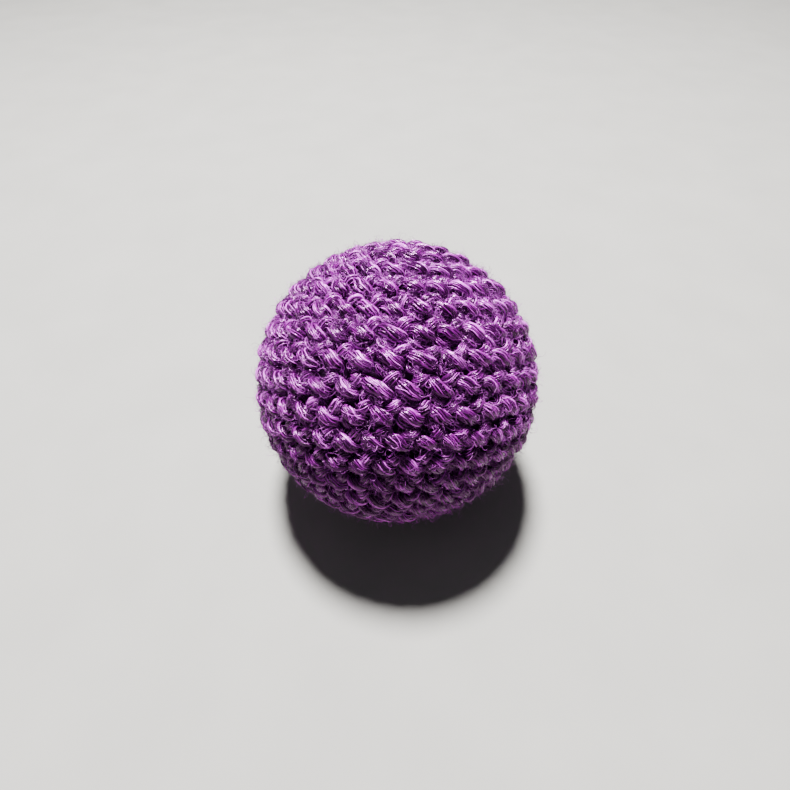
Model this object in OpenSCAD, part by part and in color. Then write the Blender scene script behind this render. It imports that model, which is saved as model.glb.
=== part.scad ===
// Juggling ball: a cover crocheted in the round over loose stuffing and a tied pouch of pellets.
// Millimetres, +Z up. The origin is the centre of the flat patch the ball rests on.
// The cover is worked from a drawn-up start ring at one pole to a gathered finish at the other.
// Its working axis leans back, toward +Y, by axis_tilt.

/* [Ball] */
// Outside diameter over the crests of the rounds
ball_d = 62; // [56:1:74]
// Lean of the working axis from vertical, toward +Y
axis_tilt = 40; // [30:1:45]
// Radius of the patch pressed flat under the ball
rest_r = 8; // [5:0.5:10]

/* [Cover] */
// Thickness of the crocheted wall at a crest
wall_t = 4; // [3.6:0.2:4.6]
// Depth of the groove between two rounds
groove_depth = 1.3; // [0.6:0.1:1.8]
// Thickness of the yarn
yarn_d = 2.2; // [1.6:0.1:2.4]

/* [Filling] */
// Thickness of the fibre stuffing around the pouch
stuffing_t = 6; // [5:0.5:8]
// Diameter of one pellet
pellet_d = 5; // [4:0.5:6]
// Wall of the pellet pouch
pouch_wall = 0.4; // [0.3:0.1:0.6]

/* [Hidden] */
$fn = 96;
rounds = 18;
round_pitch = 180 / (rounds + 1);   // degrees of arc from one round to the next
half_pitch = round_pitch / 2;
crest_step = 15;                    // degrees of the crest curve between profile points

ball_r = ball_d / 2;
groove_r = ball_r - groove_depth;
inner_r = ball_r - wall_t;
cap_r = ball_r - 0.3 * groove_depth;
centre_z = sqrt(ball_r * ball_r - rest_r * rest_r);

fit_gap = 0.3;
stuffing_r = inner_r - fit_gap;
stuffing_in_r = stuffing_r - stuffing_t;
pouch_r = stuffing_in_r - fit_gap;
pouch_in_r = pouch_r - pouch_wall;

tail_r = yarn_d / 2;
tail_path_r = inner_r - tail_r - 0.1;
tail_start = 5;
tail_arc = 78;
channel_r = tail_r + fit_gap;

neck_r = 1.6;
neck_flare_r = 2.8;
neck_len = stuffing_t * 0.35;
flare_len = stuffing_t * 0.4;
neck_hole_r = 4;
tie_r = 0.6;
tie_path_r = neck_r + tie_r + 0.05;

pellet_pitch = pellet_d + 0.1;
pellet_reach = pouch_in_r - pellet_d / 2 - 0.1;
pellet_span = ceil(pellet_reach / pellet_pitch) + 1;
row_step = pellet_pitch * sqrt(3) / 2;
layer_step = pellet_pitch * sqrt(2 / 3);

yarn_colour = [0.36, 0.12, 0.40];
tail_colour = [0.42, 0.16, 0.46];
stuffing_colour = [0.20, 0.08, 0.22];
pouch_colour = [0.86, 0.78, 0.68];
tie_colour = [0.25, 0.25, 0.28];
pellet_colour = [0.80, 0.82, 0.84];

function polar(r, a) = [r * sin(a), r * cos(a)];

function round_name(k) = str("round_", k < 10 ? "0" : "", k);

// One rounded crest between two polar angles, as points of a profile
function crest(from, to, top_r) = [
    for (s = [-90 : crest_step : 90])
        let (mid = (from + to) / 2, half = (to - from) / 2)
        polar(groove_r + (top_r - groove_r) * cos(s), mid + half * sin(s))
];

// Moves the working frame, centred on the ball, to where the ball rests
module in_place() {
    translate([0, 0, centre_z])
        rotate([-axis_tilt, 0, 0])
            children();
}

// Keeps what is above the surface the ball rests on
module pressed_flat() {
    intersection() {
        children();
        translate([-ball_d, -ball_d, 0])
            cube([2 * ball_d, 2 * ball_d, 2 * ball_d]);
    }
}

// A band of the cover, from one groove to the next
module cover_band(from, to, top_r) {
    inner = [for (a = [to, (from + to) / 2, from]) polar(inner_r, a)];
    rotate_extrude()
        polygon(concat(crest(from, to, top_r), inner));
}

// The start ring and the gathered finish: a low rounded ring with a dimple where it is drawn up
module cover_cap() {
    inner = [for (a = [half_pitch, half_pitch / 2, 0]) polar(inner_r, a)];
    rotate_extrude()
        polygon(concat(crest(0, half_pitch, cap_r), inner));
}

module start_ring() {
    color(yarn_colour)
        in_place()
            cover_cap();
}

module crochet_round(k) {
    color(yarn_colour)
        pressed_flat()
            in_place()
                cover_band((k - 0.5) * round_pitch, (k + 0.5) * round_pitch, ball_r);
}

module closing_gather() {
    color(yarn_colour)
        in_place()
            mirror([0, 0, 1])
                cover_cap();
}

// A tube bent along the inside of the cover, from the pole of the working frame
module tail_tube(radius, extra) {
    rotate([90, 0, 0])
        rotate([0, 0, 90 - tail_start - tail_arc - extra])
            rotate_extrude(angle = tail_arc + 2 * extra)
                translate([tail_path_r, 0])
                    circle(r = radius, $fn = 32);
}

module start_tail() {
    color(tail_colour)
        in_place()
            tail_tube(tail_r, 0);
}

module finish_tail() {
    color(tail_colour)
        in_place()
            rotate([180, 0, 90])
                tail_tube(tail_r, 0);
}

// Half of the hollow ball of stuffing, on the +Z side of the working frame
module stuffing_half() {
    difference() {
        sphere(r = stuffing_r);
        sphere(r = stuffing_in_r);
        translate([-ball_r, -ball_r, -2 * ball_r + fit_gap / 2])
            cube([2 * ball_r, 2 * ball_r, 2 * ball_r]);
        tail_tube(channel_r, 3);
    }
}

module stuffing_upper() {
    color(stuffing_colour)
        in_place()
            stuffing_half();
}

module stuffing_lower() {
    color(stuffing_colour)
        in_place()
            rotate([180, 0, 90])
                difference() {
                    stuffing_half();
                    cylinder(r = neck_hole_r, h = ball_r);
                }
}

// A thin pouch with a tied neck that points at the gathered finish
module pellet_pouch() {
    color(pouch_colour)
        in_place() {
            difference() {
                sphere(r = pouch_r);
                sphere(r = pouch_in_r);
            }
            translate([0, 0, -pouch_r - neck_len])
                cylinder(r = neck_r, h = neck_len + pouch_wall * 0.75);
            translate([0, 0, -pouch_r - neck_len - flare_len])
                cylinder(r1 = neck_flare_r, r2 = neck_r, h = flare_len);
        }
}

module pouch_tie() {
    color(tie_colour)
        in_place()
            translate([0, 0, -pouch_r - neck_len / 2 - 0.1])
                rotate_extrude()
                    translate([tie_path_r, 0])
                        circle(r = tie_r, $fn = 32);
}

// Pellets in close layers, each layer set in the hollows of the one below
module pellet_fill() {
    color(pellet_colour)
        in_place()
            for (i = [-pellet_span : pellet_span],
                 j = [-pellet_span : pellet_span],
                 k = [-pellet_span : pellet_span]) {
                stagger = abs(k) % 2;
                at = [(i + (abs(j) % 2) / 2 + stagger / 2) * pellet_pitch,
                      (j + stagger / 3) * row_step,
                      k * layer_step];
                if (norm(at) < pellet_reach)
                    translate(at)
                        sphere(d = pellet_d, $fn = 24);
            }
}

start_ring();
for (k = [1 : rounds])
    crochet_round(k);
closing_gather();
start_tail();
finish_tail();
stuffing_upper();
stuffing_lower();
pellet_pouch();
pouch_tie();
pellet_fill();
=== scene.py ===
import math

import bpy
import numpy as np
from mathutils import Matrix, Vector


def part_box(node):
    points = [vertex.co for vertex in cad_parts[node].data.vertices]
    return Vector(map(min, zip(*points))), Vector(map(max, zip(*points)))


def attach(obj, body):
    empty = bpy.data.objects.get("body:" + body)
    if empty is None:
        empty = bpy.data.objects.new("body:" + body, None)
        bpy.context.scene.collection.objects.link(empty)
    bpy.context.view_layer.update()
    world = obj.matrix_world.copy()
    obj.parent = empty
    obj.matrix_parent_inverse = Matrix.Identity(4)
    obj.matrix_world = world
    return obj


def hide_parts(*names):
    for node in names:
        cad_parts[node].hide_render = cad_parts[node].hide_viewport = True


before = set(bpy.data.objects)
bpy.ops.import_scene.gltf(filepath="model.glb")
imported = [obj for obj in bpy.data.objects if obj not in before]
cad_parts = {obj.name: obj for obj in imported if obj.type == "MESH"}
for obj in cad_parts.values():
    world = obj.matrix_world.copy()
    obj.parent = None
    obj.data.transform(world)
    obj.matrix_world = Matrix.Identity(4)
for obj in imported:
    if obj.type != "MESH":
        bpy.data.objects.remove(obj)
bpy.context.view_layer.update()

MM = 0.001
rng = np.random.default_rng(17)

# ---------------------------------------------------------------- driving values, in millimetres
# The stitches in each round, from the start ring to the gathered finish
STITCHES = [6, 12, 18, 24, 29, 33, 33, 33, 34, 36, 37, 36, 34, 30, 24, 18, 12, 6]
STITCH_W = 5.4        # stitch pitch that the stitch route below is drawn for
SEAM_LON = 200.0      # longitude where each round steps down to the next, degrees
SEAM_STITCHES = 2     # stitches that a round takes to step down

# One stitch, as (across, up, out, yarn radius) from its middle: across to the right, up toward the
# start ring, out from the crest of the ball. It runs down to the right over the big lobe and in
# under it, back to the left in the groove below, to the right again behind the big lobe, then out
# and up over the small lobe, and in under the round above to where the next stitch starts.
STITCH_ROUTE = [
    (-2.30, 1.00, -2.55, 0.92),
    (-1.60, 0.75, -1.45, 1.12),
    (-0.55, 0.30, -1.05, 1.20),
    (0.60, -0.25, -1.05, 1.20),
    (1.50, -0.70, -1.40, 1.12),
    (1.90, -1.10, -2.45, 0.95),
    (1.30, -1.60, -3.10, 1.00),
    (0.30, -2.10, -2.75, 1.12),
    (-0.70, -2.20, -2.50, 1.16),
    (-1.60, -1.80, -2.40, 1.16),
    (-2.30, -1.10, -2.55, 1.10),
    (-2.00, -0.25, -3.15, 0.82),
    (-0.60, 0.20, -3.60, 0.78),
    (0.60, 0.30, -3.50, 0.78),
    (1.25, 0.35, -2.60, 0.88),
    (1.65, 0.75, -1.50, 1.04),
    (2.15, 1.25, -1.15, 1.10),
    (2.72, 1.78, -1.45, 1.02),
    (3.05, 2.00, -2.70, 0.80),
    (3.15, 1.60, -3.40, 0.78),
]

# How much the stitches differ, as standard deviations
WANDER = 0.11         # place along the round
WANDER_KEPT = 0.6     # share of the last stitch's wander that a stitch takes over
UP_SHIFT = 0.15       # place up and down
OUT_SHIFT = 0.10      # place in and out
POINT_SHIFT = 0.09    # place of each point of the route
SIZE_SPREAD = 0.05    # share of the stitch's size
LEAN_SPREAD = 0.10    # share of the stitch's height
THICK_SPREAD = 0.04   # share of the yarn's radius

# The start ring and the gathered finish, as (turns round the pole, distance from the pole, out from
# the crest, yarn radius). The gather starts beside the last stitch.
START_RING_ROUTE = [
    (0.00, 0.20, -3.50, 0.75),
    (0.05, 0.70, -2.50, 0.85),
    (0.15, 1.35, -1.80, 0.95),
    (0.35, 1.50, -1.50, 1.00),
    (0.60, 1.50, -1.45, 1.00),
    (0.85, 1.50, -1.50, 1.00),
    (1.10, 1.65, -1.60, 0.95),
    (1.25, 2.10, -2.30, 0.88),
    (1.32, 2.60, -3.20, 0.80),
]
CLOSING_ROUTE = [
    (0.52, 5.20, -3.00, 0.85),
    (0.58, 4.90, -1.90, 1.00),
    (0.66, 4.40, -1.50, 1.10),
    (0.78, 3.60, -1.50, 1.10),
    (0.95, 2.90, -1.60, 1.05),
    (1.20, 2.40, -1.60, 1.05),
    (1.45, 2.00, -1.55, 1.00),
    (1.70, 1.60, -1.50, 1.00),
    (1.95, 1.15, -1.55, 0.95),
    (2.20, 0.75, -1.90, 0.90),
    (2.45, 0.40, -2.60, 0.85),
    (2.60, 0.20, -3.30, 0.80),
]
ROUTE_STEPS = 14      # steps from one point of these two routes to the next
ROUTE_ROUNDING = 25   # passes that round their corners

# The line of the yarn
SPAN_STEPS = 12       # steps of the curve from one point of a stitch to the next
SHOWN_DEPTH = 3.1     # how far below the crest of the ball the strands of the yarn still show
FINE_STEP = 0.38      # spacing of the rings along the yarn down to there
HIDDEN_STEP = 1.0     # and where it lies deeper

# How yarn that runs into yarn is pressed apart
PRESS_PASSES = 50
PRESS_REACH = 4.0     # yarn that starts further apart than this is left alone
OWN_LENGTH = 2.6      # and so is yarn that is nearer than this along its own length
PRESS_ROOM = 0.90     # distance kept, as a share of both radii
PRESS_RATE = 0.30     # share of an overlap that is taken out in a pass
PRESS_STEP = 0.25     # the furthest that a pass presses a point
HOME_PULL = 0.04      # share of the way back to the route in a pass
STIFFNESS = 0.12      # how strongly a pass evens out bends
DEEPEST = 3.6         # how far below the crest the middle of the yarn may lie
TOP_ROOM = 0.85       # and how far at least, as a share of the yarn's radius

# The yarn's strands. Their shape is in shares of the yarn's radius.
STRANDS = 16          # strands that show round the yarn
LOOSE_STRANDS = 5     # thinner strands that wander over them
TWIST_MM = 23.0       # yarn length for one turn of its twist
STRAND_SHARE = 0.084  # half of a strand's width
LOOSE_SHARE = 0.6     # a loose strand's width against another's
LOOSE_LIFT = 0.10     # how far a loose strand lies outside the others
ROOF_UP = 1.2         # height of a strand's crest over its middle, in half widths
ROOF_DOWN = 0.8       # depth of its edges below its middle, in half widths
TWO_LUMPS = 0.07      # how far the yarn's outline is drawn out to two sides
THREE_LUMPS = 0.06    # and to three
FLATTENED = 0.20      # how far the yarn is pressed flat against the ball
SINK = 0.25           # how far strands sink into the core just before they end
SINK_BAND = 0.5       # the depth over which they do, in millimetres
FACING = -0.4         # strands that face further inward than this are left out
STRAY_FROM = 1.1      # noise above which a strand strays outward
STRAY_SHARE = 0.2     # and how far it strays
CORE_SHARE = 0.62     # radius of the core
CORE_SIDES = 8
# The core's tone lies below the ramp's darkest stop: painted shade, the dark that shows between the
# strands.
CORE_PAINTED_SHADE_TONE = -0.25
STRAND_TONE = 0.34

# Noise along the strands, as (size, yarn length over which it changes)
LIFT_NOISE = (0.05, 1.6)
STRAY_NOISE = (1.0, 2.5)
TURN_NOISE = (0.10, 2.0)
LOOSE_TURN_NOISE = (0.9, 3.5)
TWO_LUMPS_NOISE = (2.5, 2.5)
THREE_LUMPS_NOISE = (2.5, 3.5)
WIDTH_NOISE = (0.2, 3.0)
TONE_NOISE = (0.31, 5.0)

# Seeds of that noise. A piece of yarn has those from its own up to 1000 more.
ROUND_SEEDS = 1000    # times the number of the round
START_RING_SEED = 30000
CLOSING_SEED = 31000
START_TAIL_SEED = 33000
FINISH_TAIL_SEED = 34000
TIE_SEED = 36000
STRAND_SEEDS = 10     # seeds for each strand, from the piece's own on
TWO_LUMPS_SEED = 501  # and for the outline, after the piece's own
THREE_LUMPS_SEED = 502

# Loose fibre ends
FUZZ_PIECES = 5         # pieces of fuzz over the ridges
GROOVE_FUZZ_PIECES = 9  # pieces of fuzz down in the grooves
HAIRS_PER_PIECE = 3300
FUZZ_DEPTH = 2.9        # how far below the crest the yarn has the first kind
GROOVE_DEPTHS = (1.7, 3.1)  # and where it has the second
FUZZ_ROOT = 0.85        # height of a hair's root over the yarn's middle, as a share of its radius
FUZZ_REACH = 0.7        # how steeply hairs leave the yarn, at most
FUZZ_LENGTHS = (1.0, 5.5)  # shortest and longest
FUZZ_R = (0.015, 0.036)
GROOVE_FUZZ_R = (0.026, 0.055)
FUZZ_REST = 0.4         # depth that hairs over the ridges curl back to
GROOVE_FUZZ_REST = (1.0, 2.2)
HAIR_STEPS = 9
HAIR_SIDES = 3
HAIR_TIP = 0.4          # radius at the tip, as a share of the radius at the root
HAIR_ASIDE = 0.3        # how far a hair's root lies beside the point that it is given
HAIR_BEND = 1.2         # how strongly a hair bends as it leaves
HAIR_BEND_CHANGE = 0.45  # and how much that changes in a step
HAIR_RETURN = 0.25      # how strongly it turns back to the depth that it rests at
SHORT_HAIRS = 2.5       # a higher power makes more of the hairs short
DARK_HAIRS = 2          # a higher power makes more of the hairs dark, and fewer of the cover's hairs light with painted glint
HAIR_SIDE = (0.31, 0.83, 0.46)  # a hair's first side is square to this direction
HAIR_U = 3.0            # length of a hair along U

# The yarn's two tails, inside the cover
TAIL_FROM = 5.0       # polar angle of the ends of a tail, from its own pole, in degrees
TAIL_TO = 83.0
TAIL_RINGS = 90
TAIL_END_RINGS = 3    # rings over which a tail's end widens by its full width
TAIL_TIP = 0.35       # the width that it starts from, as a share
TAIL_SHARE = 0.93     # radius of the yarn, as a share of the CAD's
CHANNEL_GAP = 0.3     # room round a tail in the stuffing

# The stuffing
POUCH_GAP = 0.3       # room between the pouch and the stuffing
NECK_HOLE_R = 4.0     # hole in the lower half, for the neck of the pouch
STUFFING_OUT = 0.97   # size of a half's outer face before it gets lumps, against the CAD's
STUFFING_IN = 1.02    # and of its inner face
RIM_HEIGHT = 0.15     # height of the rim over the plane between the halves
EDGE_ANGLE = 89.7     # polar angle of the rim's outer edge, in degrees
INNER_EDGE_ANGLE = 89.6
CLOSED_ANGLE = 0.02   # polar angle where a half without a hole ends, in radians
STUFFING_SIDES = 160
STUFFING_OUT_RINGS = 60
STUFFING_IN_RINGS = 45
LUMP_WAVES = 14
LUMP_TURN = 0.35      # turn of a wave in a millimetre, in radians
LUMP_PHASES = 6.3     # its phase at the centre is up to this
LUMP_HEIGHT = 0.11
FIBRES_PER_HALF = 2600
FIBRE_ROOT = 0.955    # radius of the fibres' roots, as a share of the stuffing's
FIBRE_REST = 0.965    # and the radius that they curl back to
FIBRE_HEIGHTS = (0.12, 0.97)  # where a half has fibres, as shares of its height
FIBRE_REACH = 0.2
FIBRE_LENGTHS = (2.0, 5.0)
FIBRE_R = (0.02, 0.04)

# The pouch and its tie
NECK_PROFILE = [      # (distance from the axis, height from the tie) down to the lip of the mouth
    (3.6, 1.9),
    (2.4, 1.2),
    (1.75, 0.7),
    (1.6, 0.0),
    (1.7, -0.9),
    (2.3, -1.9),
    (2.8, -2.9),
]
MOUTH_FROM = 3        # the mouth is hollow from this point of the profile on
MOUTH_WALL = 0.35
MOUTH_BOTTOM_R = 0.05
BODY_ANGLES = (0.5, 168)  # polar angles of the round part, in degrees
BODY_RINGS = 110
POUCH_SIDES = 260
POUCH_INSIDE = 0.98   # size of the inner face against the outer
PLEATS = 26
PLEAT_DEPTH = 0.09    # as a share of the distance from the axis
PLEAT_SWAY = 1.5      # how far the pleats sway to the side, in radians of a pleat
PLEAT_SWAYS = 3
PLEATS_FROM = 0.25    # how far below the middle the pleats begin, as a share of the radius
TIE_TURNS = 3
TIE_THREAD_R = 0.36
TIE_TURN_RINGS = 44
TIE_INSET = 1.1       # depth of the thread's middle in the CAD's tie, in thread radii
TIE_SPACING = 0.62    # height of the winding to either side, in thread radii for each turn
TIE_WAVER = 0.05
TIE_WAVERS = 5        # wavers in a turn

# The pellets
PELLETS = 227
PELLET_SIDES = 18
PELLET_RINGS = 15
PELLET_ANGLES = (0.5, 179.5)  # polar angles, in degrees
PELLET_SHARE = 0.98   # size against the CAD's
PELLET_FLAT = 0.95    # height against width
PELLET_SEAM = 0.015   # height of the mould line, as a share of the radius
PELLET_SEAM_W = 0.09  # width of the mould line, in radians

# ---------------------------------------------------------------- colours, light and camera
# The yarn's purple by tone. The darkest stop, which the core gets, is painted shade between the
# strands, and the palest stop, which only the brightest streaks reach, is painted glints.
YARN_SHADE_PURPLE_GLINT_RAMP = [
    (0.15, (0.012, 0.0004, 0.014)),
    (0.48, (0.030, 0.0008, 0.034)),
    (0.68, (0.080, 0.002, 0.088)),
    (0.87, (0.235, 0.003, 0.26)),
    (1.0, (0.64, 0.075, 0.70)),
]
STREAK_SHARE = 0.64    # how much the fine streaks change a strand's tone
YARN_TINT = (1.0, 0.34, 1.0, 1)
FUZZ_DARK = (0.035, 0.0007, 0.040)
# The few light hairs of the cover's fuzz are painted glints, sparkle painted into their colour.
FUZZ_GLINT_LIGHT = (0.62, 0.10, 0.68)
FUZZ_TINT = (1.0, 0.45, 1.0, 1)
STUFFING_DARK = (0.030, 0.003, 0.035)
STUFFING_LIGHT = (0.09, 0.010, 0.10)
FIBRE_DARK = (0.08, 0.005, 0.09)
FIBRE_LIGHT = (0.24, 0.04, 0.26)
COTTON_DARK = (0.58, 0.49, 0.38)
COTTON_LIGHT = (0.76, 0.67, 0.55)
THREAD_DARK = (0.02, 0.02, 0.025)
THREAD_LIGHT = (0.09, 0.09, 0.10)
PLASTIC_DARK = (0.55, 0.58, 0.62)
PLASTIC_LIGHT = (0.80, 0.82, 0.84)
FLOOR_DARK = (0.23, 0.223, 0.209)
FLOOR_LIGHT = (0.25, 0.242, 0.227)

# Lights, as (place in metres, diameter in metres, watts)
KEY_LIGHT = ((-0.05, 0.20, 0.75), 0.14, 47.0)
FILL_LIGHT = ((-0.50, -0.20, 0.35), 0.4, 0.15)
STUDIO_COLOUR = (0.9, 0.92, 1.0, 1)
STUDIO_STRENGTH = 0.14
FLOOR_HALF = 3.0           # metres

LENS = 25.8                # millimetres, as is the sensor
SENSOR = 36.0
CLIP_START = 0.005         # metres
CAMERA_ELEVATION = 47.0    # degrees
CAMERA_DISTANCE = 4.1      # radii of the ball
SHIFT_X = -0.0025316       # shares of the picture's width
SHIFT_Y = -0.0177215


# ---------------------------------------------------------------- the ball, from the CAD frame
def box_mid(name):
    """Middle of a CAD node's box, in millimetres."""
    low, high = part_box(name)
    return np.array((low + high) / 2) / MM


def box_radius(name):
    """Half of the width of a CAD node's box, in millimetres."""
    low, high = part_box(name)
    return (high[0] - low[0]) / 2 / MM


top_cap = box_mid("start_ring")
bottom_cap = box_mid("closing_gather")
centre = (top_cap + bottom_cap) / 2
pole = (top_cap - bottom_cap) / np.linalg.norm(top_cap - bottom_cap)
front = np.array([0.0, -1.0, 0.0])
front = front - front.dot(pole) * pole
front /= np.linalg.norm(front)
right = np.cross(pole, front)
rounds = len(STITCHES)
pitch = math.pi / (rounds + 1)
ball_r = box_radius("round_09") / math.sin(9 * pitch)   # its crest is 9 pitches from the pole


def around(lon):
    """Directions square to the pole at the longitudes, one row each."""
    return np.cos(lon)[:, None] * front + np.sin(lon)[:, None] * right


def on_ball(lon, polar, radius):
    """Points from longitude and polar angle in radians and radius in mm, one row each."""
    way = np.cos(polar)[:, None] * pole + np.sin(polar)[:, None] * around(lon)
    return centre + radius[:, None] * way


def outward(points):
    """Directions away from the ball's centre, one row each."""
    return (points - centre) / np.linalg.norm(points - centre, axis=1)[:, None]


def depth_of(points):
    """How far the points lie below the crest of the ball."""
    return ball_r - np.linalg.norm(points - centre, axis=1)


def length_along(line):
    """The length of the line up to each of its points."""
    return np.concatenate([[0], np.cumsum(np.linalg.norm(np.diff(line, axis=0), axis=1))])


# ---------------------------------------------------------------- the yarn's route
def step_down(share):
    """Falls smoothly from 1 to 0 as share goes from 0 to 1, and stays 0 beyond."""
    share = min(1.0, max(0.0, share))
    return 1 - share * share * (3 - 2 * share)


def yarn_controls():
    """Control points (longitude, polar angle, radius, yarn radius) of the whole cover in stitch
    order, with the round that each belongs to."""
    points, owner = [], []
    route = np.array(STITCH_ROUTE)
    for k, count in enumerate(STITCHES, start=1):
        reach = ball_r * math.sin(k * pitch)
        width = 2 * math.pi * reach / count
        wander = 0.0
        for i in range(count):
            wander = WANDER_KEPT * wander + rng.normal(0, WANDER)
            lean = 1 + rng.normal(0, LEAN_SPREAD)
            size = 1 + rng.normal(0, SIZE_SPREAD)
            shift = np.array([wander, rng.normal(0, UP_SHIFT), rng.normal(0, OUT_SHIFT)])
            local = route[:, :3] * [size * width / STITCH_W, size * lean, 1.0]
            local = local + shift + rng.normal(0, POINT_SHIFT, local.shape)
            along = (i + 0.5) / count
            lon = math.radians(SEAM_LON) + 2 * math.pi * along + local[:, 0] / reach
            rise = pitch * step_down(along * count / SEAM_STITCHES) if k > 1 else 0.0
            polar = k * pitch - rise - local[:, 1] / ball_r
            thick = route[:, 3] * (1 + rng.normal(0, THICK_SPREAD))
            points.append(np.stack([lon, polar, ball_r + local[:, 2], thick], 1))
            owner += [k] * len(route)
    return np.concatenate(points), np.array(owner)


def smooth_line(controls, extra):
    """Catmull-Rom line through the controls, with close points where it shows, and with extra carried
    along it. The last result is each point's length along the yarn."""
    p0, p1 = controls[:-3], controls[1:-2]
    p2, p3 = controls[2:-1], controls[3:]
    t = np.linspace(0, 1, SPAN_STEPS, endpoint=False)[None, :, None]
    a, b = p1[:, None], 0.5 * (p2 - p0)[:, None]
    c = (p0 - 2.5 * p1 + 2 * p2 - 0.5 * p3)[:, None]
    d = (1.5 * p1 - 0.5 * p0 - 1.5 * p2 + 0.5 * p3)[:, None]
    fine = (a + t * (b + t * (c + t * d))).reshape(-1, 3)
    index = (np.arange(len(p1))[:, None] + 1 + t[0, :, 0][None, :]).reshape(-1)
    length = length_along(fine)
    spacing = np.where(depth_of(fine) > SHOWN_DEPTH, HIDDEN_STEP, FINE_STEP)[:-1]
    count = np.concatenate([[0], np.cumsum(np.diff(length) / spacing)])
    even = np.interp(np.arange(0, count[-1]), count, length)
    line = np.stack([np.interp(even, length, fine[:, j]) for j in range(3)], 1)
    at = np.interp(even, length, index)
    carried = [np.interp(at, np.arange(len(e)), e) for e in extra]
    return line, carried, even


def near_pairs(line, along, reach, apart):
    """Pairs of points of the line within reach of each other and at least apart further along it.
    The points are sorted into cubes as wide as reach, and each is paired with those in its own
    cube and the 26 around it."""
    row = 1024
    cell = np.floor(line / reach).astype(np.int64) + row // 2
    key = (cell[:, 0] * row + cell[:, 1]) * row + cell[:, 2]
    order = np.argsort(key, kind="stable")
    sorted_key = key[order]
    pairs = []
    for dx in (-1, 0, 1):
        for dy in (-1, 0, 1):
            for dz in (-1, 0, 1):
                other = key + (dx * row + dy) * row + dz
                start = np.searchsorted(sorted_key, other, "left")
                count = np.searchsorted(sorted_key, other, "right") - start
                i = np.repeat(np.arange(len(line)), count)
                offset = np.arange(count.sum()) - np.repeat(np.cumsum(count) - count, count)
                j = order[np.repeat(start, count) + offset]
                keep = along[j] - along[i] > apart
                pairs.append(np.stack([i[keep], j[keep]], 1))
    pairs = np.concatenate(pairs)
    gap = np.linalg.norm(line[pairs[:, 0]] - line[pairs[:, 1]], axis=1)
    return pairs[gap < reach]


def settle(line, thick, along):
    """Pushes strands of yarn that run through each other apart, as they press apart in real fabric."""
    home = line.copy()
    pairs = near_pairs(line, along, PRESS_REACH, OWN_LENGTH)
    i, j = pairs[:, 0], pairs[:, 1]
    room = PRESS_ROOM * (thick[i] + thick[j])
    for _ in range(PRESS_PASSES):
        gap = line[j] - line[i]
        dist = np.linalg.norm(gap, axis=1) + 1e-9
        push = np.maximum(0.0, room - dist) * PRESS_RATE / dist
        move = np.zeros_like(line)
        for axis in range(3):
            part = push * gap[:, axis]
            move[:, axis] = np.bincount(j, part, len(line)) - np.bincount(i, part, len(line))
        size = np.linalg.norm(move, axis=1)[:, None] + 1e-9
        line = line + move * np.minimum(1.0, PRESS_STEP / size)
        line = line + HOME_PULL * (home - line)
        line[1:-1] += STIFFNESS * (line[:-2] + line[2:] - 2 * line[1:-1])
        radius = np.linalg.norm(line - centre, axis=1)
        held = np.clip(radius, ball_r - DEEPEST, ball_r - TOP_ROOM * thick)
        line = centre + (line - centre) * (held / radius)[:, None]
        line[:, 2] = np.maximum(line[:, 2], thick)
    return line


def frames_along(line):
    """Two cross directions at each point, which turn as little as possible along the line."""
    tangent = np.gradient(line, axis=0)
    tangent /= np.linalg.norm(tangent, axis=1)[:, None]
    side = np.zeros_like(line)
    side[0] = np.cross(tangent[0], line[0] - centre)
    side[0] /= np.linalg.norm(side[0])
    for i in range(1, len(line)):
        s = side[i - 1] - side[i - 1].dot(tangent[i]) * tangent[i]
        side[i] = s / math.sqrt(s.dot(s))
    return side, np.cross(tangent, side)


def smooth_noise(along, noise, seed):
    """Noise along the yarn. noise is its size and the length of yarn over which it changes."""
    size, period = noise
    own = np.random.default_rng(seed)
    at = (along - along[0]) / period
    knots = own.normal(0, 1, int(at[-1]) + 4)
    return size * np.interp(at, np.arange(len(knots)), knots)


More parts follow.
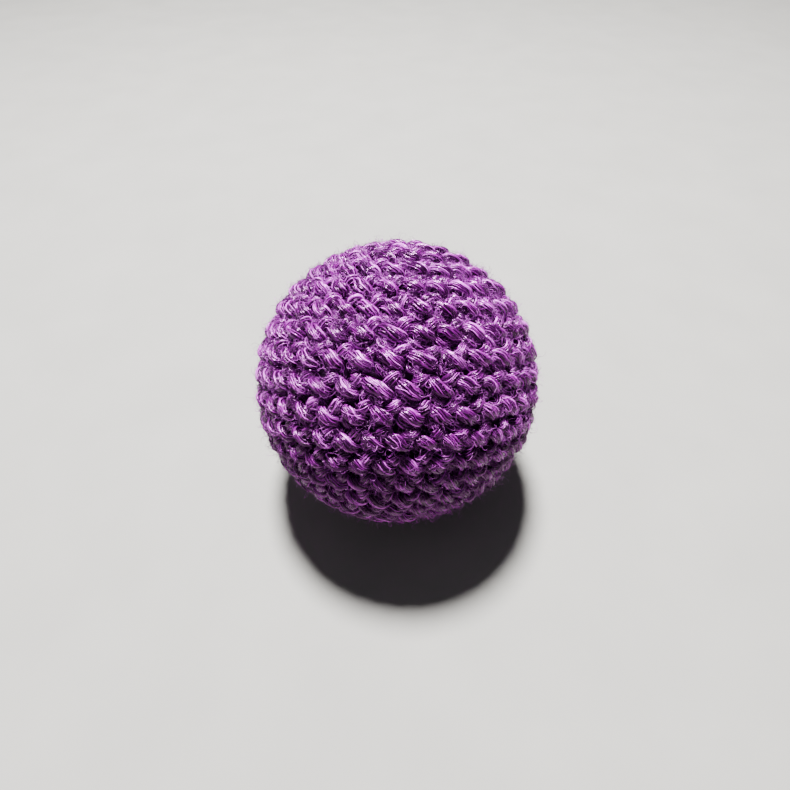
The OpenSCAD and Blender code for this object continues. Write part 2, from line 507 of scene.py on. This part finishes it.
# ---------------------------------------------------------------- making meshes
class MeshParts:
    """Vertices, quads, UVs and a tone per vertex, gathered from many strips and tubes."""

    STRIP_OFFSET = 31.7   # how far apart strips lie along U, so that their streaks differ

    def __init__(self):
        self.verts, self.faces, self.uvs, self.tones = [], [], [], []
        self.total = 0

    def strips(self, points, keep, along, tone, closed):
        """Adds strips of quads. points are strips x rings x places across x 3, keep (strips x gaps
        between rings) says which gaps are filled, tone is strips x rings, and closed joins each
        strip round on itself."""
        count, rings, across, _ = points.shape
        j = np.arange(across if closed else across - 1)
        k = (j + 1) % across
        strip, ring = np.nonzero(keep)
        first = ((strip * rings + ring) * across)[:, None]
        quads = np.stack([first + j, first + k, first + across + k, first + across + j], -1)
        number = np.arange(count)[:, None, None]
        uv = np.empty((count, rings, across, 2))
        uv[..., 0] = along[None, :, None] + self.STRIP_OFFSET * number
        uv[..., 1] = number + np.arange(across) / across
        self.verts.append(points.reshape(-1, 3))
        self.faces.append(quads.reshape(-1, 4) + self.total)
        self.uvs.append(uv.reshape(-1, 2))
        self.tones.append(np.repeat(tone.reshape(-1), across))
        self.total += count * rings * across

    def tube(self, line, u_dir, v_dir, radius, sides, along, tone):
        """Adds a round tube. u_dir and v_dir are the cross directions at each point of line."""
        angle = 2 * math.pi * np.arange(sides) / sides
        ring = (
            line[:, None]
            + radius[:, None, None] * np.cos(angle)[None, :, None] * u_dir[:, None]
            + radius[:, None, None] * np.sin(angle)[None, :, None] * v_dir[:, None]
        )
        self.strips(ring[None], np.ones((1, len(line) - 1), bool), along, tone[None], True)

    def build(self, name, material):
        """Makes the object. Nothing reaches below the surface that the ball rests on."""
        used, faces = np.unique(np.concatenate(self.faces), return_inverse=True)
        faces = faces.reshape(-1, 4)
        verts = np.concatenate(self.verts)[used] * MM
        verts[:, 2] = np.maximum(verts[:, 2], 0)
        mesh = bpy.data.meshes.new(name)
        mesh.vertices.add(len(verts))
        mesh.vertices.foreach_set("co", verts.astype(np.float32).ravel())
        mesh.loops.add(faces.size)
        mesh.loops.foreach_set("vertex_index", faces.astype(np.int32).ravel())
        mesh.polygons.add(len(faces))
        mesh.polygons.foreach_set("loop_start", np.arange(0, faces.size, 4, dtype=np.int32))
        mesh.polygons.foreach_set("use_smooth", np.ones(len(faces), bool))
        mesh.update(calc_edges=True)
        uv = np.concatenate(self.uvs)[used][faces.ravel()]
        mesh.uv_layers.new(name="along").data.foreach_set("uv", uv.astype(np.float32).ravel())
        tone = mesh.attributes.new("tone", "FLOAT", "POINT")
        tones = np.concatenate(self.tones)[used]
        tone.data.foreach_set("value", tones.astype(np.float32))
        mesh.materials.append(material)
        obj = bpy.data.objects.new(name, mesh)
        bpy.context.scene.collection.objects.link(obj)
        return obj


def yarn_strands(parts, line, thick, side, other, along, seed, all_round=False):
    """Adds a length of yarn: its core, and its twisted strands. The strands stop below SHOWN_DEPTH
    and face outward only, unless all_round is set."""
    depth = np.zeros(len(line)) if all_round else depth_of(line)
    out = outward(line)
    # The core is painted near-black, as shade between the strands.
    core_painted_shade = np.full(len(line), CORE_PAINTED_SHADE_TONE)
    parts.tube(line, side, other, CORE_SHARE * thick, CORE_SIDES, along, core_painted_shade)
    shown = depth < SHOWN_DEPTH
    sunk = np.clip((depth - SHOWN_DEPTH + SINK_BAND) / SINK_BAND, 0, 1)
    twist = 2 * math.pi * along / TWIST_MM
    two_turn = smooth_noise(along, TWO_LUMPS_NOISE, seed + TWO_LUMPS_SEED)
    three_turn = smooth_noise(along, THREE_LUMPS_NOISE, seed + THREE_LUMPS_SEED)
    roofs, tones, keeps = [], [], []
    for s in range(STRANDS + LOOSE_STRANDS):
        mark = seed + STRAND_SEEDS * s
        loose = s >= STRANDS
        stray = np.maximum(0, smooth_noise(along, STRAY_NOISE, mark) - STRAY_FROM)
        lift = 1 - STRAND_SHARE + smooth_noise(along, LIFT_NOISE, mark + 1) + STRAY_SHARE * stray
        wobble = smooth_noise(along, LOOSE_TURN_NOISE if loose else TURN_NOISE, mark + 2)
        if loose:
            lift = lift + LOOSE_LIFT
        angle = 2 * math.pi * s / STRANDS + twist + wobble
        lift = lift + TWO_LUMPS * np.cos(2 * angle + two_turn)
        lift = lift + THREE_LUMPS * np.cos(3 * angle + three_turn)
        radial = np.cos(angle)[:, None] * side + np.sin(angle)[:, None] * other
        across = -np.sin(angle)[:, None] * side + np.cos(angle)[:, None] * other
        middle = line + (thick * (lift - SINK * sunk))[:, None] * radial
        squash = ((middle - line) * out).sum(1)
        middle = middle - (FLATTENED * squash)[:, None] * out
        share = LOOSE_SHARE * STRAND_SHARE if loose else STRAND_SHARE
        half = (share * thick * (1 + smooth_noise(along, WIDTH_NOISE, mark + 3)))[:, None]
        left = middle - half * across - ROOF_DOWN * half * radial
        crest = middle + ROOF_UP * half * radial
        right_edge = middle + half * across - ROOF_DOWN * half * radial
        roofs.append(np.stack([left, crest, right_edge], 1))
        tones.append(STRAND_TONE + smooth_noise(along, TONE_NOISE, mark + 4))
        kept = shown & (all_round | ((radial * out).sum(1) > FACING))
        keeps.append(kept[:-1] & kept[1:])
    parts.strips(np.stack(roofs), np.stack(keeps), along, np.stack(tones), False)


def add_yarn(parts, path, radius, seed):
    """Adds a length of yarn along path, with strands all round it."""
    side, other = frames_along(path)
    yarn_strands(parts, path, radius, side, other, length_along(path), seed, all_round=True)


def hairs(parts, start, heading, length, thickness, rest):
    """Adds fine curling hairs, one for each row of start, that stay near radius rest."""
    count = len(start)
    bend = rng.normal(0, HAIR_BEND, (count, 3))
    step = (length / HAIR_STEPS)[:, None]
    point, way = start, heading
    points = [point]
    for _ in range(HAIR_STEPS):
        bend = bend + rng.normal(0, HAIR_BEND_CHANGE, (count, 3))
        way = way + step * np.cross(bend, way)
        up = point - centre
        height = np.linalg.norm(up, axis=1)[:, None]
        way = way - HAIR_RETURN * step * (height - rest) * up / height
        way = way / np.linalg.norm(way, axis=1)[:, None]
        point = point + step * way
        points.append(point)
    points = np.stack(points, 1)
    tangent = np.gradient(points, axis=1)
    side = np.cross(tangent, HAIR_SIDE)
    side /= np.linalg.norm(side, axis=2)[..., None] + 1e-9
    other = np.cross(tangent, side)
    other /= np.linalg.norm(other, axis=2)[..., None] + 1e-9
    radius = thickness[:, None] * np.linspace(1.0, HAIR_TIP, HAIR_STEPS + 1)
    angle = 2 * math.pi * np.arange(HAIR_SIDES) / HAIR_SIDES
    spoke = (
        np.cos(angle)[:, None] * side[:, :, None] + np.sin(angle)[:, None] * other[:, :, None]
    )
    ring = points[:, :, None] + radius[:, :, None, None] * spoke
    # Mostly dark tones; on the cover's fuzz the rare light hairs are painted glints.
    tone = np.repeat(rng.uniform(0, 1, (count, 1)) ** DARK_HAIRS, HAIR_STEPS + 1, 1)
    keep = np.ones((count, HAIR_STEPS), bool)
    parts.strips(ring, keep, np.linspace(0, HAIR_U, HAIR_STEPS + 1), tone, True)


def scatter_hairs(parts, start, up, reach, lengths, thickness, rest):
    """Hairs from the points in start that leave to all sides and up to reach outward."""
    count = len(start)
    spread = rng.normal(0, 1, up.shape)
    spread -= (spread * up).sum(1)[:, None] * up
    spread /= np.linalg.norm(spread, axis=1)[:, None]
    heading = spread + rng.uniform(0.0, reach, (count, 1)) * up
    length = lengths[0] + (lengths[1] - lengths[0]) * rng.uniform(0, 1, count) ** SHORT_HAIRS
    hairs(parts, start + HAIR_ASIDE * spread, heading, length, rng.uniform(*thickness, count), rest)


def lathe(parts, profile, sides, shape):
    """Adds a surface of revolution round the pole. profile rows are (distance from the axis, height
    along the pole from the centre), and shape(points, turn) moves the points of each ring."""
    turn = 2 * math.pi * np.arange(sides) / sides
    profile = np.array(profile)
    points = centre + profile[:, 0, None, None] * around(turn) + profile[:, 1, None, None] * pole
    keep = np.ones((1, len(profile) - 1), bool)
    tone = np.full((1, len(profile)), 0.5)
    parts.strips(shape(points, turn)[None], keep, length_along(profile), tone, True)


def add_piece(parts, name, material, slot, *nodes):
    """Builds a piece that rides on the ball's body and stands for the CAD nodes."""
    piece = parts.build(name, material)
    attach(piece, "root")
    if nodes:
        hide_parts(*nodes)
    return piece


# ---------------------------------------------------------------- materials
def node_material(name):
    """A new material, with its nodes and their links."""
    mat = bpy.data.materials.new(name)
    mat.use_nodes = True
    return mat, mat.node_tree.nodes, mat.node_tree.links


def colour_by(value, nodes, links, stops):
    """Colours the surface by a value, through a ramp with the given (position, colour) stops."""
    ramp = nodes.new("ShaderNodeValToRGB")
    elements = ramp.color_ramp.elements
    elements[0].position = stops[0][0]
    elements[0].color = (*stops[0][1], 1)
    elements[1].position = stops[-1][0]
    elements[1].color = (*stops[-1][1], 1)
    for position, colour in stops[1:-1]:
        elements.new(position).color = (*colour, 1)
    links.new(value, ramp.inputs["Fac"])
    links.new(ramp.outputs["Color"], nodes["Principled BSDF"].inputs["Base Color"])


def bump_by(value, nodes, links, strength, height):
    """Makes the surface uneven by a value. height is in millimetres."""
    bump = nodes.new("ShaderNodeBump")
    bump.inputs["Strength"].default_value = strength
    bump.inputs["Distance"].default_value = height * MM
    links.new(value, bump.inputs["Height"])
    links.new(bump.outputs["Normal"], nodes["Principled BSDF"].inputs["Normal"])


def tone_of_mesh(nodes):
    """The tone that MeshParts gives each vertex."""
    tone = nodes.new("ShaderNodeAttribute")
    tone.attribute_name = "tone"
    return tone.outputs["Fac"]


def yarn_material(name):
    """Silky yarn: each strand has its own tone, with fine streaks along it. The ramp's darkest stop,
    which the core takes, is painted shade, and its palest stop is painted glints.
    """
    mat, nodes, links = node_material(name)
    uv = nodes.new("ShaderNodeUVMap")
    uv.uv_map = "along"
    stretch = nodes.new("ShaderNodeMapping")
    stretch.inputs["Scale"].default_value = (0.55, 6.0, 1.0)
    links.new(uv.outputs["UV"], stretch.inputs["Vector"])
    streak = nodes.new("ShaderNodeTexNoise")
    streak.inputs["Scale"].default_value = 2.2
    streak.inputs["Detail"].default_value = 5.0
    links.new(stretch.outputs["Vector"], streak.inputs["Vector"])
    add = nodes.new("ShaderNodeMath")
    add.operation = "MULTIPLY_ADD"
    links.new(streak.outputs["Fac"], add.inputs[0])
    add.inputs[1].default_value = STREAK_SHARE
    links.new(tone_of_mesh(nodes), add.inputs[2])
    colour_by(add.outputs[0], nodes, links, YARN_SHADE_PURPLE_GLINT_RAMP)
    bump_by(streak.outputs["Fac"], nodes, links, strength=0.6, height=0.1)
    shader = nodes["Principled BSDF"]
    shader.inputs["Roughness"].default_value = 0.21
    shader.inputs["Specular IOR Level"].default_value = 1.0
    shader.inputs["Specular Tint"].default_value = YARN_TINT
    return mat


def fuzz_material(name, dark, light):
    """Loose fibre ends, each in its own tone, with a silky shine. On the cover's fuzz the light end of
    the tones is painted glint.
    """
    mat, nodes, links = node_material(name)
    colour_by(tone_of_mesh(nodes), nodes, links, [(0.0, dark), (1.0, light)])
    shader = nodes["Principled BSDF"]
    shader.inputs["Roughness"].default_value = 0.3
    shader.inputs["Specular IOR Level"].default_value = 0.9
    shader.inputs["Specular Tint"].default_value = FUZZ_TINT
    return mat


def mottled_material(name, dark, light, *, roughness, scale, bump_height):
    """A fine mottle and a bump, for the stuffing, thread, pellets and floor."""
    mat, nodes, links = node_material(name)
    noise = nodes.new("ShaderNodeTexNoise")
    noise.inputs["Scale"].default_value = scale
    noise.inputs["Detail"].default_value = 6.0
    place = nodes.new("ShaderNodeTexCoord")
    links.new(place.outputs["Object"], noise.inputs["Vector"])
    colour_by(noise.outputs["Fac"], nodes, links, [(0.3, dark), (0.7, light)])
    bump_by(noise.outputs["Fac"], nodes, links, strength=0.4, height=bump_height)
    nodes["Principled BSDF"].inputs["Roughness"].default_value = roughness
    return mat


def cloth_material(name, dark, light):
    """Fine plain-woven cotton: two sets of threads that cross."""
    mat, nodes, links = node_material(name)
    place = nodes.new("ShaderNodeTexCoord")
    weave = nodes.new("ShaderNodeMath")
    weave.operation = "MAXIMUM"
    for i, direction in enumerate(("X", "Z")):
        wave = nodes.new("ShaderNodeTexWave")
        wave.bands_direction = direction
        wave.inputs["Scale"].default_value = 900.0
        wave.inputs["Distortion"].default_value = 1.5
        links.new(place.outputs["Object"], wave.inputs["Vector"])
        links.new(wave.outputs["Fac"], weave.inputs[i])
    colour_by(weave.outputs[0], nodes, links, [(0.0, dark), (1.0, light)])
    bump_by(weave.outputs[0], nodes, links, strength=0.5, height=0.1)
    nodes["Principled BSDF"].inputs["Roughness"].default_value = 0.85
    return mat


# ---------------------------------------------------------------- the cover
yarn = yarn_material("yarn_purple")
controls, owner = yarn_controls()
knots = on_ball(controls[:, 0], controls[:, 1], controls[:, 2])
line, (thick, owner), along = smooth_line(knots, [controls[:, 3], owner])
line = settle(line, thick, along)
side, other = frames_along(line)
owner = np.floor(owner + 1e-6)   # yarn between two rounds belongs to the first
for k in range(1, rounds + 1):
    span = np.nonzero(owner == k)[0]
    # A piece reaches as far as the first ring of the next.
    cut = slice(span[0], min(span[-1] + 2, len(line)))
    parts = MeshParts()
    yarn_strands(parts, line[cut], thick[cut], side[cut], other[cut], along[cut], ROUND_SEEDS * k)
    add_piece(parts, f"yarn_round_{k:02d}", yarn, "yarn", f"round_{k:02d}")


def route_line(route, from_far_pole):
    """The line and yarn radius of a route round a pole."""
    at = np.linspace(0, len(route) - 1, ROUTE_STEPS * len(route))
    columns = [np.interp(at, np.arange(len(route)), column) for column in np.array(route).T]
    for column in columns:
        for _ in range(ROUTE_ROUNDING):
            column[1:-1] += 0.5 * (0.5 * (column[:-2] + column[2:]) - column[1:-1])
    turn, reach, rise, radius = columns
    polar = reach / ball_r
    if from_far_pole:
        polar = math.pi - polar
    return on_ball(2 * math.pi * turn, polar, ball_r + rise), radius


for name, route, far, seed in (
    ("start_ring", START_RING_ROUTE, False, START_RING_SEED),
    ("closing_gather", CLOSING_ROUTE, True, CLOSING_SEED),
):
    parts = MeshParts()
    add_yarn(parts, *route_line(route, far), seed)
    add_piece(parts, "yarn_" + name, yarn, "yarn", name)

fuzz = fuzz_material("fuzz", FUZZ_DARK, FUZZ_GLINT_LIGHT)
out = outward(line)
depth = depth_of(line)
showing = np.nonzero(depth < FUZZ_DEPTH)[0]
in_groove = np.nonzero((depth > GROOVE_DEPTHS[0]) & (depth < GROOVE_DEPTHS[1]))[0]
for zone in range(1, FUZZ_PIECES + GROOVE_FUZZ_PIECES + 1):
    deep = zone > FUZZ_PIECES
    pick = rng.choice(in_groove if deep else showing, HAIRS_PER_PIECE)
    begin = line[pick] + FUZZ_ROOT * thick[pick][:, None] * out[pick]
    rest = rng.uniform(*GROOVE_FUZZ_REST, (HAIRS_PER_PIECE, 1)) if deep else FUZZ_REST
    width = GROOVE_FUZZ_R if deep else FUZZ_R
    parts = MeshParts()
    scatter_hairs(parts, begin, out[pick], FUZZ_REACH, FUZZ_LENGTHS, width, ball_r - rest)
    add_piece(parts, f"fuzz_{zone}", fuzz, "yarn")

# ---------------------------------------------------------------- inside the cover
# Each tail is an arc from near its own pole, and its box gives the arc's radius and thickness.
tail_low, tail_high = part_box("start_tail")
far_side = (tail_high[0] / MM - centre[0]) / math.sin(math.radians(TAIL_TO))
near_side = (tail_low[0] / MM - centre[0]) / math.sin(math.radians(TAIL_FROM))
tail_path_r = (far_side + near_side) / 2
tail_r = (far_side - near_side) / 2
stuffing_r = box_radius("stuffing_upper")
pouch_r = box_radius("pellet_pouch")
stuffing_in_r = pouch_r + POUCH_GAP

for name, lon, far, seed in (
    ("start_tail", math.pi / 2, False, START_TAIL_SEED),
    ("finish_tail", math.pi, True, FINISH_TAIL_SEED),
):
    polar = np.radians(np.linspace(TAIL_FROM, TAIL_TO, TAIL_RINGS))
    if far:
        polar = math.pi - polar
    path = on_ball(np.full(TAIL_RINGS, lon), polar, np.full(TAIL_RINGS, tail_path_r))
    ring = np.arange(TAIL_RINGS)
    from_end = np.minimum(ring, ring[::-1]) / TAIL_END_RINGS
    radius = TAIL_SHARE * tail_r * np.clip(TAIL_TIP + from_end, 0, 1)
    parts = MeshParts()
    add_yarn(parts, path, radius, seed)
    add_piece(parts, "yarn_" + name, yarn, "yarn_tail", name)


def arc(radius, angles):
    """Points at the polar angles, as (distance from the axis, height)."""
    return [(radius * math.sin(a), radius * math.cos(a)) for a in angles]


def half_of_stuffing(parts, flip, tail_side, hole_r):
    """Adds one lumpy half of the stuffing. flip is 1 for the upper half and -1 for the lower, and
    the half has a groove on tail_side, where its tail lies."""
    start = math.asin(hole_r / stuffing_in_r) if hole_r else CLOSED_ANGLE
    outer = np.linspace(start, math.radians(EDGE_ANGLE), STUFFING_OUT_RINGS)
    inner = np.linspace(math.radians(INNER_EDGE_ANGLE), start, STUFFING_IN_RINGS)
    mid_r = (stuffing_r + stuffing_in_r) / 2
    profile = arc(STUFFING_OUT * stuffing_r, outer)
    profile.append((mid_r, RIM_HEIGHT))
    profile += arc(STUFFING_IN * stuffing_in_r, inner)
    profile.append(profile[0])
    profile = [(x, flip * y) for x, y in profile]

    def lumps(points, turn):
        """Makes the surface lumpy and presses the groove in, within the room that the CAD has."""
        offset = points - centre
        away = np.linalg.norm(offset, axis=2)
        lump = np.zeros(away.shape)
        for _ in range(LUMP_WAVES):
            wave = rng.normal(0, 1, 3) * LUMP_TURN
            lump += np.sin(offset @ wave + rng.uniform(0, LUMP_PHASES))
        away = away + LUMP_HEIGHT * lump
        from_plane = offset @ np.cross(pole, tail_side)
        room = (tail_r + CHANNEL_GAP) ** 2 - from_plane**2
        groove = (room > 0) & (offset @ tail_side > 0) & (away > mid_r)
        bottom = tail_path_r - np.sqrt(np.maximum(room, 0))
        away = np.where(groove, np.minimum(away, bottom), away)
        held = np.clip(away, stuffing_in_r, stuffing_r)
        return centre + offset * (held / np.linalg.norm(offset, axis=2))[..., None]

    lathe(parts, profile, STUFFING_SIDES, lumps)


stuffing_plum = mottled_material(
    "stuffing_fibre", STUFFING_DARK, STUFFING_LIGHT, roughness=0.9, scale=900.0, bump_height=0.3
)
fibre_plum = fuzz_material("loose_fibre", FIBRE_DARK, FIBRE_LIGHT)
for name, flip, tail_side, hole_r in (
    ("stuffing_upper", 1.0, right, 0.0),
    ("stuffing_lower", -1.0, -front, NECK_HOLE_R),
):
    parts = MeshParts()
    half_of_stuffing(parts, flip, tail_side, hole_r)
    piece = add_piece(parts, "fill_" + name, stuffing_plum, "stuffing", name)
    way = rng.normal(0, 1, (4 * FIBRES_PER_HALF, 3))
    way /= np.linalg.norm(way, axis=1)[:, None]
    height = flip * (way @ pole)
    in_half = (height > FIBRE_HEIGHTS[0]) & (height < FIBRE_HEIGHTS[1])
    way = way[in_half][:FIBRES_PER_HALF]
    begin = centre + FIBRE_ROOT * stuffing_r * way
    rest = FIBRE_REST * stuffing_r
    parts = MeshParts()
    scatter_hairs(parts, begin, way, FIBRE_REACH, FIBRE_LENGTHS, FIBRE_R, rest)
    add_piece(parts, "fibres_" + name, fibre_plum, "stuffing")

# The pouch: a round bag, pleated where its mouth is drawn in and tied.
tie_out_r = box_radius("pouch_tie")
tie_height = (box_mid("pouch_tie") - centre) @ pole
body = arc(pouch_r, np.radians(np.linspace(*BODY_ANGLES, BODY_RINGS)))
neck = [(reach, tie_height + up) for reach, up in NECK_PROFILE]
mouth = [(reach - MOUTH_WALL, height) for reach, height in reversed(neck[MOUTH_FROM:])]
mouth.append((MOUTH_BOTTOM_R, tie_height))


def pleats(points, turn):
    """Folds the cloth toward the axis, more and more toward the mouth."""
    offset = points - centre
    height = offset @ pole
    axial = offset - height[..., None] * pole
    gather = np.clip((-height / pouch_r - PLEATS_FROM) / (1 - PLEATS_FROM), 0, 1) ** 2
    ripple = np.cos(PLEATS * turn + PLEAT_SWAY * np.sin(PLEAT_SWAYS * turn)) - 1
    drawn_in = axial * (1 + PLEAT_DEPTH * gather * ripple)[..., None]
    return centre + height[..., None] * pole + drawn_in


cotton = cloth_material("pouch_cotton", COTTON_DARK, COTTON_LIGHT)
parts = MeshParts()
lathe(parts, body + neck + mouth, POUCH_SIDES, pleats)
inside = [(POUCH_INSIDE * x, POUCH_INSIDE * y) for x, y in body]
lathe(parts, inside[::-1], POUCH_SIDES, pleats)
piece = add_piece(parts, "bag_pellet_pouch", cotton, "pouch", "pellet_pouch")

# The tie: a thread wound round the neck of the pouch.
turn = np.linspace(0, 2 * math.pi * TIE_TURNS, TIE_TURN_RINGS * TIE_TURNS)
climb = np.linspace(-1, 1, len(turn)) * TIE_THREAD_R * TIE_TURNS * TIE_SPACING
reach = tie_out_r - TIE_INSET * TIE_THREAD_R + TIE_WAVER * np.sin(TIE_WAVERS * turn)
path = centre + reach[:, None] * around(turn) + (tie_height + climb)[:, None] * pole
parts = MeshParts()
add_yarn(parts, path, np.full(len(turn), TIE_THREAD_R), TIE_SEED)
thread = mottled_material(
    "tie_thread", THREAD_DARK, THREAD_LIGHT, roughness=0.6, scale=2500.0, bump_height=0.05
)
add_piece(parts, "thread_pouch_tie", thread, "tie", "pouch_tie")

# The pellets: moulded plastic beads, each a little flat and turned its own way, where the CAD has
# them. The CAD mesh holds them one after another with equally many points.
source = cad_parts["pellet_fill"]
flat = np.empty(3 * len(source.data.vertices), np.float32)
source.data.vertices.foreach_get("co", flat)
matrix = np.array(source.matrix_world)
points = (flat.reshape(-1, 3) @ matrix[:3, :3].T + matrix[:3, 3]) / MM
pellets = points.reshape(PELLETS, -1, 3)
middles = (pellets.max(1) + pellets.min(1)) / 2
pellet_r = np.ptp(pellets[0], axis=0).max() / 2
polar = np.radians(np.linspace(*PELLET_ANGLES, PELLET_RINGS))
turn = 2 * math.pi * np.arange(PELLET_SIDES) / PELLET_SIDES
seam = PELLET_SEAM * np.exp(-(((polar - math.pi / 2) / PELLET_SEAM_W) ** 2))
bead_r = pellet_r * (PELLET_SHARE + seam)
bead = np.stack(
    [
        np.outer(bead_r * np.sin(polar), np.cos(turn)),
        np.outer(bead_r * np.sin(polar), np.sin(turn)),
        np.outer(PELLET_FLAT * bead_r * np.cos(polar), np.ones(PELLET_SIDES)),
    ],
    -1,
)
turned = np.linalg.qr(rng.normal(0, 1, (PELLETS, 3, 3)))[0]
turned *= np.sign(np.linalg.det(turned))[:, None, None]
beads = np.einsum("pij,rsj->prsi", turned, bead) + middles[:, None, None]
parts = MeshParts()
tone = np.repeat(rng.uniform(0, 1, (PELLETS, 1)), PELLET_RINGS, 1)
parts.strips(beads, np.ones((PELLETS, PELLET_RINGS - 1), bool), polar, tone, True)
plastic = mottled_material(
    "pellet_plastic", PLASTIC_DARK, PLASTIC_LIGHT, roughness=0.35, scale=500.0, bump_height=0.02
)
add_piece(parts, "beads_pellet_fill", plastic, "pellets", "pellet_fill")

# ---------------------------------------------------------------- floor, light and camera
middle_of_ball = Vector(centre * MM)


def make_floor(half):
    """Adds a plain square floor under the ball."""
    pale = mottled_material(
        "floor_pale", FLOOR_DARK, FLOOR_LIGHT, roughness=0.8, scale=40.0, bump_height=0.05
    )
    data = bpy.data.meshes.new("floor")
    corners = [(-half, -half, 0), (half, -half, 0), (half, half, 0), (-half, half, 0)]
    data.from_pydata(corners, [], [(0, 1, 2, 3)])
    data.materials.append(pale)
    floor = bpy.data.objects.new("floor", data)
    bpy.context.scene.collection.objects.link(floor)


def area_light(name, place, size, watts):
    """Adds a round light that points at the ball."""
    data = bpy.data.lights.new(name, "AREA")
    data.shape = "DISK"
    data.size = size
    data.energy = watts
    lamp = bpy.data.objects.new(name, data)
    lamp.location = place
    aim = middle_of_ball - Vector(place)
    lamp.rotation_euler = aim.to_track_quat("-Z", "Y").to_euler()
    bpy.context.scene.collection.objects.link(lamp)


def light_all_round():
    """Adds a faint light from all sides."""
    world = bpy.data.worlds.new("studio")
    world.use_nodes = True
    background = world.node_tree.nodes["Background"]
    background.inputs["Color"].default_value = STUDIO_COLOUR
    background.inputs["Strength"].default_value = STUDIO_STRENGTH
    bpy.context.scene.world = world


def add_camera():
    """Adds a camera that looks at the ball from the front and above."""
    data = bpy.data.cameras.new("camera")
    data.lens = LENS
    data.sensor_width = SENSOR
    data.clip_start = CLIP_START
    data.shift_x = SHIFT_X
    data.shift_y = SHIFT_Y
    camera = bpy.data.objects.new("camera", data)
    elevation = math.radians(CAMERA_ELEVATION)
    back = Vector((0, -math.cos(elevation), math.sin(elevation)))
    camera.location = middle_of_ball + back * (CAMERA_DISTANCE * ball_r * MM)
    camera.rotation_euler = (-back).to_track_quat("-Z", "Y").to_euler()
    bpy.context.scene.collection.objects.link(camera)
    bpy.context.scene.camera = camera


make_floor(FLOOR_HALF)
area_light("key", *KEY_LIGHT)
area_light("fill", *FILL_LIGHT)
light_all_round()
add_camera()
